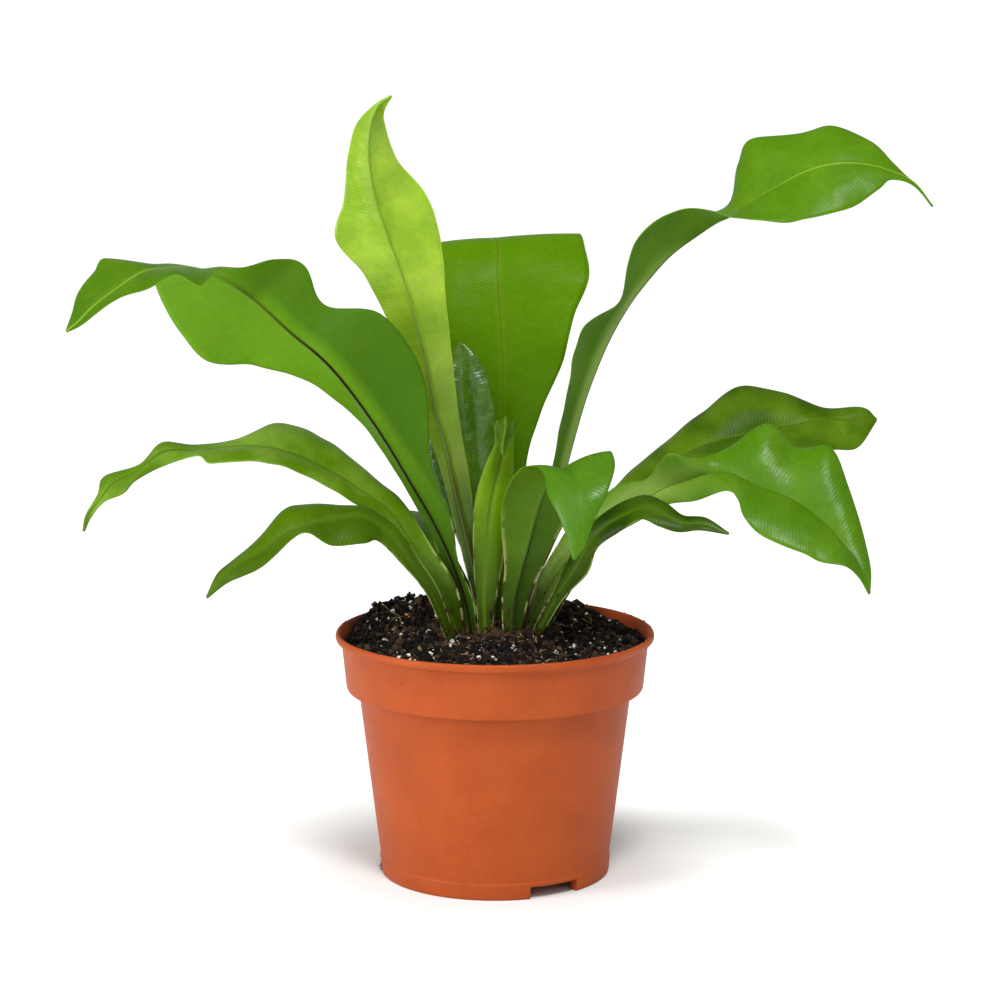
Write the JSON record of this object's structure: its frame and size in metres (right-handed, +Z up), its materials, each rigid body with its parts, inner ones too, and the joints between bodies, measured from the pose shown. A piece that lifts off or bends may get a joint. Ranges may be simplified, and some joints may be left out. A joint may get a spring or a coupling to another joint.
{
  "type": "potted fern",
  "caption": "Bird's nest fern: a rosette of waved strap fronds on a short rhizome, growing in a soil-filled round plastic nursery pot.",
  "frame": {"origin": "middle of the whole plant's box in X and Y, on the surface the pot stands on", "axes": "+Z up, +X to the right as seen from the plant's front, +Y towards its back"},
  "size_m": [0.3104, 0.1888, 0.293],
  "materials": {
    "pot_plastic": "moulded terracotta-coloured polypropylene, satin",
    "potting_soil": "moist dark peat with white perlite grains",
    "rhizome": "brown papery scales",
    "frond_green": "waxy green leaf, glossy above and duller below",
    "frond_young": "young pale green leaf, satin",
    "frond_lime": "young lime green leaf, satin"
  },
  "bodies": {
    "root": {"pot": "pot_plastic", "soil": "potting_soil", "crown": "rhizome", "frond_lime_upright": "frond_lime", "frond_left_high": "frond_green", "frond_left_arching": "frond_green", "frond_left_low": "frond_green", "frond_back_tall": "frond_green", "frond_back_inner": "frond_green", "frond_young_centre": "frond_young", "frond_front_folded": "frond_green", "frond_right_tall": "frond_green", "frond_right_back": "frond_green", "frond_right_broad": "frond_young", "frond_right_low": "frond_green", "frond_right_tucked": "frond_green", "frond_back_left_low": "frond_green", "frond_back_low": "frond_green"}
  },
  "joints": []
}
